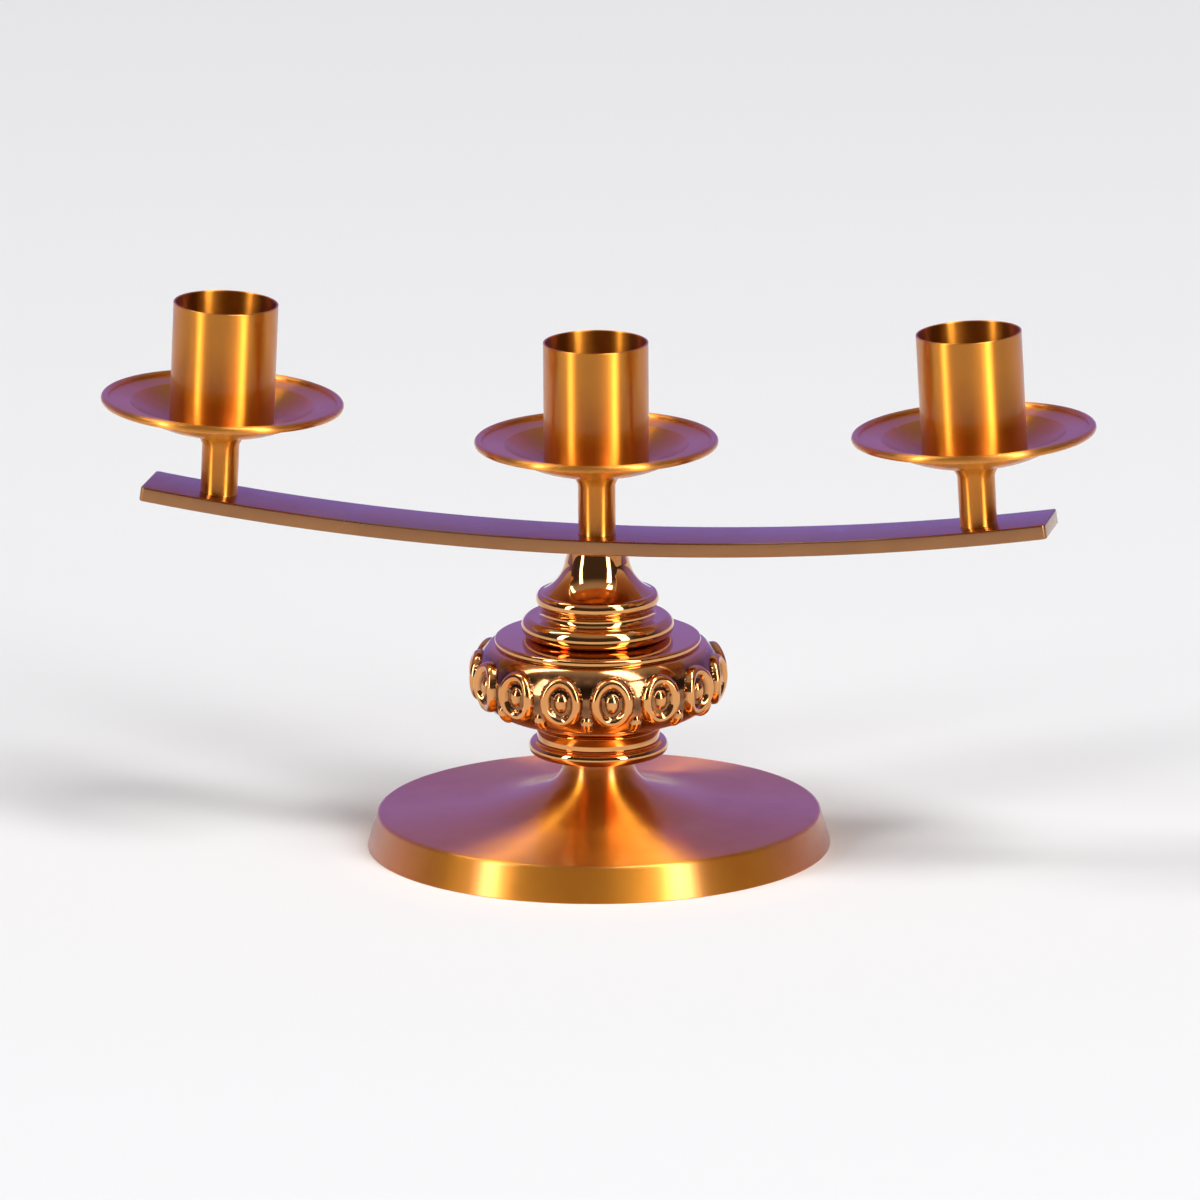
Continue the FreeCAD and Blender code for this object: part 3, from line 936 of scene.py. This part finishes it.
@dataclass
class Arm:
    """Flat bar bent to a shallow arc, with eased edges and its holes. Sizes in millimetres."""

    arc_radius: float = 1127.0
    half_chord: float = 176.0
    width: float = 27.2
    thickness: float = 5.6
    corner: float = 1.6
    ease: float = 0.6
    ease_steps: int = 5
    corner_steps: int = 6
    side_steps: int = 120
    swivel_hole: float = 4.05
    screw_hole: float = 3.1
    screw_head: float = 6.1
    screw_cone: float = 3.0
    screw_recess: float = 0.7
    middle: Vector = field(init=False)

    def __post_init__(self) -> None:
        """Finds the centre of the arc, in metres."""
        low, _ = span_mm("arm_bar")
        self.middle = Vector((0, 0, low + self.thickness + self.arc_radius)) * MM

    def plan(self, inset: float) -> list[Pair]:
        """Draws the straight bar from above.

        Args:
            inset: Distance inside the bar's edge.

        Returns:
            Points along and across the bar, counter-clockwise from its front right corner.
        """
        length = self.arc_radius * math.asin(self.half_chord / self.arc_radius)
        radius = self.corner - inset
        x, y = length - self.corner, self.width / 2 - self.corner
        points = []
        for quarter, (right, back) in enumerate(((1, -1), (1, 1), (-1, 1), (-1, -1))):
            for i in range(self.corner_steps + 1):
                angle = math.pi / 2 * (quarter - 1 + i / self.corner_steps)
                turned = radius * math.cos(angle), radius * math.sin(angle)
                points.append((right * x + turned[0], back * y + turned[1]))
            if right != back:
                continue
            side = back * (self.width / 2 - inset)
            steps = range(1, self.side_steps)
            points += [(right * (x - 2 * x * i / self.side_steps), side) for i in steps]
        return points

    def caps(self, count: int) -> Faces:
        """Faces of the upper side, in strips between two rounded ends.

        Args:
            count: Points in one ring.

        Returns:
            Corner numbers of each face, as if the ring were the first.
        """
        corner = self.corner_steps + 1
        back = list(range(2 * corner - 1, 2 * corner + self.side_steps))
        left = list(range(back[-1], back[-1] + 2 * corner))
        front = [0, *range(count - 1, left[-1] - 1, -1)]
        strips = [
            (front[i], back[i], back[i + 1], front[i + 1]) for i in range(self.side_steps)
        ]
        return [tuple(range(2 * corner)), tuple(left), *strips]

    def cutters(self) -> list[Object]:
        """Makes the cutters of the swivel hole and of the countersunk holes under the posts.

        Returns:
            The cutters.
        """
        low, _ = span_mm("arm_bar")
        hole = self.swivel_hole
        swivel = [(hole, low - self.thickness), (hole, low + 2 * self.thickness)]
        made = [plug("swivel_cutter", swivel, Matrix())]
        for place in (Side.LEFT, Side.RIGHT):
            holder = Holder(place)
            foot = -holder.seat_height
            seat = foot + self.screw_recess - self.thickness
            screw = [
                (self.screw_head, seat - self.thickness),
                (self.screw_head, seat),
                (self.screw_hole, seat + self.screw_cone),
                (self.screw_hole, foot + self.thickness),
            ]
            made.append(plug(f"{place.value}_screw_cutter", screw, holder.frame))
        return made

    def build(self) -> None:
        """Builds the bent bar in drawn brass, in rings from its lower face to its upper."""
        turns = [math.pi / 2 * i / self.ease_steps for i in range(self.ease_steps + 1)]
        lower = [(self.ease * (1 - math.sin(t)), self.ease * (1 - math.cos(t))) for t in turns]
        rings = lower + [(inset, self.thickness - height) for inset, height in reversed(lower)]
        vertices = []
        for inset, height in rings:
            reach = (self.arc_radius + self.thickness - height) * MM
            for along, across in self.plan(inset):
                angle = along / self.arc_radius
                drop = (reach * math.sin(angle), across * MM, -reach * math.cos(angle))
                vertices.append(self.middle + Vector(drop))
        count = len(vertices) // len(rings)
        top = len(vertices) - count
        caps = self.caps(count)
        faces = band_faces(count, len(rings))
        faces += [tuple(top + i for i in cap) for cap in caps]
        faces += [tuple(reversed(cap)) for cap in caps]
        bar = mesh_object("bent_bar", vertices, faces)
        cut(bar, self.cutters())
        dress(bar, "arm", "satin_brass", SHADED_DRAWN_BRASS, "arm_bar")


class Side(Enum):
    """Places of the three holders."""

    LEFT = "left"
    CENTER = "center"
    RIGHT = "right"

    @property
    def carrier(self) -> str:
        """Body that carries the post and the pan."""
        return "stand" if self is Side.CENTER else "arm"


@dataclass
class Holder:
    """Post, drip pan and candle cup, along the axis that the cup turns on. Sizes in millimetres.

    Heights count from the cup's seat.
    """

    place: Side
    seat_height: float = 28.04
    post_radius: float = 7.15
    post_height: float = 26.0
    post_segments: int = 128
    hub_radius: float = 16.0
    hub_height: float = 7.0
    hub_bow: float = 1.7
    stud_hole: float = 3.06
    rod_hole: float = 4.06
    rod_grip: float = 10.0
    pan_radius: float = 46.7
    pan_wall: float = 1.2
    pan_floor: float = 21.55
    pan_well: float = 35.4
    pan_depth: float = 7.7
    pan_bow: float = 0.8
    pan_rise: float = 0.9
    pan_roll: float = 1.5
    cup_bore: float = 19.35
    cup_wall: float = 0.8
    cup_floor: float = 2.4
    cup_depth: float = 44.5
    cup_edge: float = 0.6
    cup_lip: float = 0.38
    head_radius: float = 6.55
    head_height: float = 1.25
    soft: float = 0.3
    frame: Matrix = field(init=False)

    def __post_init__(self) -> None:
        """Takes the holder's frame from the joint that its cup turns on."""
        name = f"{self.place.value}_cup_turn"
        joint = next(joint for joint in frame["joints"] if joint["name"] == name)
        up, back = Vector(joint["axis"]), Vector((0, 1, 0))
        turn = Matrix((back.cross(up), back, up)).transposed()
        self.frame = Matrix.Translation(joint["pos_m"]) @ turn.to_4x4()

    def post(self) -> None:
        """Builds the post with its flared head."""
        side = self.place.value
        foot = -self.seat_height
        top = foot + self.post_height
        hole = self.rod_hole if self.place is Side.CENTER else self.stud_hole
        outline = Outline(
            Corner(hole, foot),
            Corner(self.post_radius, foot),
            Corner(self.post_radius, top - self.hub_height),
            Corner(self.hub_radius, top, bow=self.hub_bow),
            Corner(self.stud_hole, top),
            Corner(self.stud_hole, foot + self.rod_grip),
            Corner(hole, foot + self.rod_grip),
        )
        made = lathe(f"{side}_turned_post", outline.points(), self.post_segments, self.frame)
        if self.place is not Side.CENTER:
            self.seat_on_arm(made)
        dress(made, self.place.carrier, "satin_brass", CUP_BRASS, f"{side}_post")

    def seat_on_arm(self, post: Object) -> None:
        """Moves the post's foot along its axis on to the arm's curved face.

        Args:
            post: Turned post.
        """
        arm = Arm()
        reach = arm.arc_radius * MM
        up = self.frame.col[2].xyz
        for vertex in post.data.vertices:
            if abs(vertex.co.dot(up) + self.seat_height * MM) < self.soft * MM:
                gap = post.matrix_world @ vertex.co - arm.middle
                gap.y = 0
                toward = gap.dot(up)
                inside = toward * toward - gap.length_squared + reach * reach
                vertex.co -= up * (toward + math.sqrt(inside))

    def pan(self) -> None:
        """Builds the drip pan: floor, well, brim and rolled edge."""
        side, roll = self.place.value, self.pan_roll
        low = self.post_height - self.seat_height
        floor = low + self.pan_wall
        well = floor + self.pan_depth
        under_r, under_z = self.pan_well + self.pan_wall, well - self.pan_wall
        edge_r, edge_z = self.pan_radius - roll, well + self.pan_rise
        outline = Outline(
            Corner(self.stud_hole, low),
            Corner(self.pan_floor, low, soft=self.soft),
            Corner(under_r, under_z, bow=-self.pan_bow, soft=self.soft),
            Corner(edge_r, edge_z - roll, soft=self.soft),
            Corner(edge_r, edge_z + roll, bow=-roll),
            Corner(edge_r - roll, edge_z, bow=-roll * (1 - math.cos(math.pi / 4))),
            Corner(self.pan_well, well, soft=self.soft),
            Corner(self.pan_floor - self.pan_wall / 2, floor, bow=self.pan_bow, soft=self.soft),
            Corner(self.stud_hole, floor),
        )
        # The pan's well is darkened with painted shade.
        made = lathe(f"{side}_spun_pan", outline.points(), place=self.frame, recess=self.well_shade)
        dress(made, self.place.carrier, "satin_brass", SPUN_BRASS, f"{side}_drip_pan")

    def well_shade(self, point: Vector) -> float:
        """Painted shade in the pan, which grows from the brim to the foot of its well."""
        share = (self.pan_well - point.x) / (self.pan_well - self.pan_floor)
        return min(1.0, max(0.0, share))

    def bore_shade(self, point: Vector) -> float:
        """Painted shade in the cup, 1 inside the bore."""
        low, high = self.cup_floor - self.soft, self.cup_floor + self.cup_depth - self.cup_lip
        return float(point.x < self.cup_bore + self.cup_wall / 4 and low < point.y < high)

    def cup(self) -> None:
        """Builds the thin-walled candle cup."""
        side = self.place.value
        top = self.cup_floor + self.cup_depth
        outside = self.cup_bore + self.cup_wall
        recess = self.cup_floor - self.head_height
        outline = Outline(
            Corner(self.stud_hole, 0),
            Corner(outside, 0, soft=self.cup_edge),
            Corner(outside, top, soft=self.cup_lip),
            Corner(self.cup_bore, top, soft=self.cup_lip),
            Corner(self.cup_bore, self.cup_floor, soft=self.soft),
            Corner(self.head_radius, self.cup_floor),
            Corner(self.head_radius, recess),
            Corner(self.stud_hole, recess),
        )
        # The cup's bore is darkened with painted shade.
        made = lathe(f"{side}_spun_cup", outline.points(), place=self.frame, recess=self.bore_shade)
        dress(made, f"{side}_cup", "satin_brass", CUP_BRASS, f"{side}_candle_cup")

    def build(self) -> None:
        """Builds the holder's three pieces."""
        self.post()
        self.pan()
        self.cup()


@dataclass
class Fittings:
    """Pieces whose shape is already right, and which only take a finish."""

    brass: tuple[str, ...] = ("swivel_washer", "post_screws")
    steel: tuple[str, ...] = ("tie_rod", "base_nut", "base_washer")
    holder_brass: tuple[str, ...] = ("cup_stud", "cup_washer")

    def build(self) -> None:
        """Dresses the rod, the nut, the screws, the studs and the washers."""
        held = [f"{place.value}_{piece}" for place in Side for piece in self.holder_brass]
        finishes = dict.fromkeys((*self.brass, *held), FITTING_BRASS)
        finishes |= dict.fromkeys(self.steel, ZINC_STEEL)
        for node, finish in finishes.items():
            materials = frame["nodes"][node].data.materials
            materials.clear()
            materials.append(finish.material())
            LOG.info("%s: %s", node, finish.name)


def direction(angle: float, rise: float) -> Vector:
    """Way out from the axis, at an angle around it and a rise above the floor."""
    level = math.cos(rise)
    return Vector((math.cos(angle) * level, math.sin(angle) * level, math.sin(rise)))


@dataclass(frozen=True)
class Softbox:
    """Tall soft lamp that leans over and faces the candelabra.

    Attributes:
        name: Lamp's name.
        bearing: Degrees to the right of the camera, seen from above.
        distance: Metres from the candelabra's foot.
        rise: Degrees of its middle above the floor.
        size: Width and height, in metres.
        radiance: Brightness of its face, where 1 is a white surface.
    """

    name: str
    bearing: float
    distance: float
    rise: float
    size: Pair
    radiance: float

    def build(self, facing: float) -> None:
        """Sets up the lamp.

        Args:
            facing: Angle of the camera's side around the axis, in radians.
        """
        lamp = bpy.data.lights.new(self.name, "AREA")
        lamp.shape = "RECTANGLE"
        lamp.size, lamp.size_y = self.size
        lamp.energy = self.radiance * math.pi * self.size[0] * self.size[1]
        stood = bpy.data.objects.new(self.name, lamp)
        away = direction(facing + math.radians(self.bearing), math.radians(self.rise))
        stood.location = away * self.distance
        stood.rotation_euler = away.to_track_quat("Z", "Y").to_euler()
        stood.visible_camera = False
        bpy.context.scene.collection.objects.link(stood)


@dataclass
class Studio:
    """Floor, light and camera. Sizes in metres."""

    bearing: float = math.radians(11.59)
    rise: float = math.radians(14.28)
    roll: float = math.radians(-0.403)
    distance: float = 5.745
    aim: tuple[float, float, float] = (0.0, 0.0, 0.09575)
    lens: float = 450.0
    shift: Pair = (0.0021, 0.0012)
    floor_half: float = 30.0
    floor_color: Color = (0.9, 0.9, 0.905)
    room: Color = (0.06, 0.05, 0.05)
    backdrop: Color = (0.33, 0.23, 0.72)
    backdrop_edge: Pair = (-0.1, 0.6)
    ceiling: Color = (0.42, 0.4, 0.39)
    ceiling_edge: Pair = (0.5, 0.8)
    fill_color: Color = (1.0, 1.0, 1.0)
    fill: float = 0.12
    lamps: tuple[Softbox, ...] = (
        Softbox("right_softbox", 42.0, 10.0, 22.0, (2.2, 7.6), 11.0),
        Softbox("left_softbox", -58.0, 10.0, 22.0, (1.6, 7.6), 11.0),
        Softbox("right_top_softbox", 48.0, 10.0, 65.0, (2.0, 6.0), 12.0),
        Softbox("left_top_softbox", -95.0, 10.0, 58.0, (0.9, 6.0), 11.5),
    )

    @property
    def facing(self) -> float:
        """Angle of the camera's side around the axis."""
        return self.bearing - math.pi / 2

    def camera(self) -> None:
        """Sets up the camera at the photograph's angle."""
        lens = bpy.data.cameras.new("camera")
        lens.lens = self.lens
        lens.shift_x, lens.shift_y = self.shift
        lens.clip_end = 4 * self.floor_half
        eye = bpy.data.objects.new("camera", lens)
        away = direction(self.facing, self.rise)
        eye.location = Vector(self.aim) + away * self.distance
        eye.rotation_mode = "QUATERNION"
        eye.rotation_quaternion = away.to_track_quat("Z", "Y") @ Quaternion((0, 0, 1), self.roll)
        bpy.context.scene.collection.objects.link(eye)
        bpy.context.scene.camera = eye

    def floor(self) -> None:
        """Lays a plain pale floor."""
        half = self.floor_half
        corners = [(-half, -half, 0), (half, -half, 0), (half, half, 0), (-half, half, 0)]
        floor = mesh_object("floor", corners, [(0, 1, 2, 3)])
        material = bpy.data.materials.new("pale_floor")
        material.use_nodes = True
        graph = Graph(material.node_tree)
        paint = graph.add("ShaderNodeBsdfDiffuse", {"Color": self.floor_color})
        graph.add("ShaderNodeOutputMaterial", {"Surface": paint.outputs[0]})
        floor.data.materials.append(material)

    def world(self) -> None:
        """Sets up the room: dim walls, a coloured cloth behind, a pale ceiling and neutral fill."""
        world = bpy.data.worlds.new("studio")
        world.use_nodes = True
        graph = Graph(world.node_tree)
        x, y, z = graph.split(graph.coordinates("Generated"))
        back = graph.math("MULTIPLY", y, math.cos(self.bearing))
        right = graph.math("MULTIPLY", x, math.sin(self.bearing))
        cloth = graph.step(graph.math("SUBTRACT", back, right), *self.backdrop_edge)
        walls = graph.mix(cloth, self.room, self.backdrop)
        seen = graph.mix(graph.step(z, *self.ceiling_edge), walls, self.ceiling)
        shown = graph.add("ShaderNodeBackground", {"Color": seen})
        fill = {"Color": self.fill_color, "Strength": self.fill}
        light = graph.add("ShaderNodeBackground", fill)
        diffuse = graph.add("ShaderNodeLightPath").outputs["Is Diffuse Ray"]
        choice = {0: diffuse, 1: shown.outputs[0], 2: light.outputs[0]}
        mixed = graph.add("ShaderNodeMixShader", choice)
        graph.add("ShaderNodeOutputWorld", {"Surface": mixed.outputs[0]})
        bpy.context.scene.world = world

    def build(self) -> None:
        """Sets up the whole studio."""
        bpy.context.scene.view_settings.view_transform = "Standard"
        self.camera()
        self.floor()
        self.world()
        for lamp in self.lamps:
            lamp.build(self.facing)


def main() -> None:
    """Builds the studio and every piece of the candelabra."""
    logging.basicConfig(level=logging.INFO, format="%(name)s: %(message)s")
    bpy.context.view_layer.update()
    Studio().build()
    Foot().build()
    Column().build()
    Knop().build()
    Arm().build()
    for place in Side:
        Holder(place).build()
    Fittings().build()


if __name__ == "__main__":
    main()
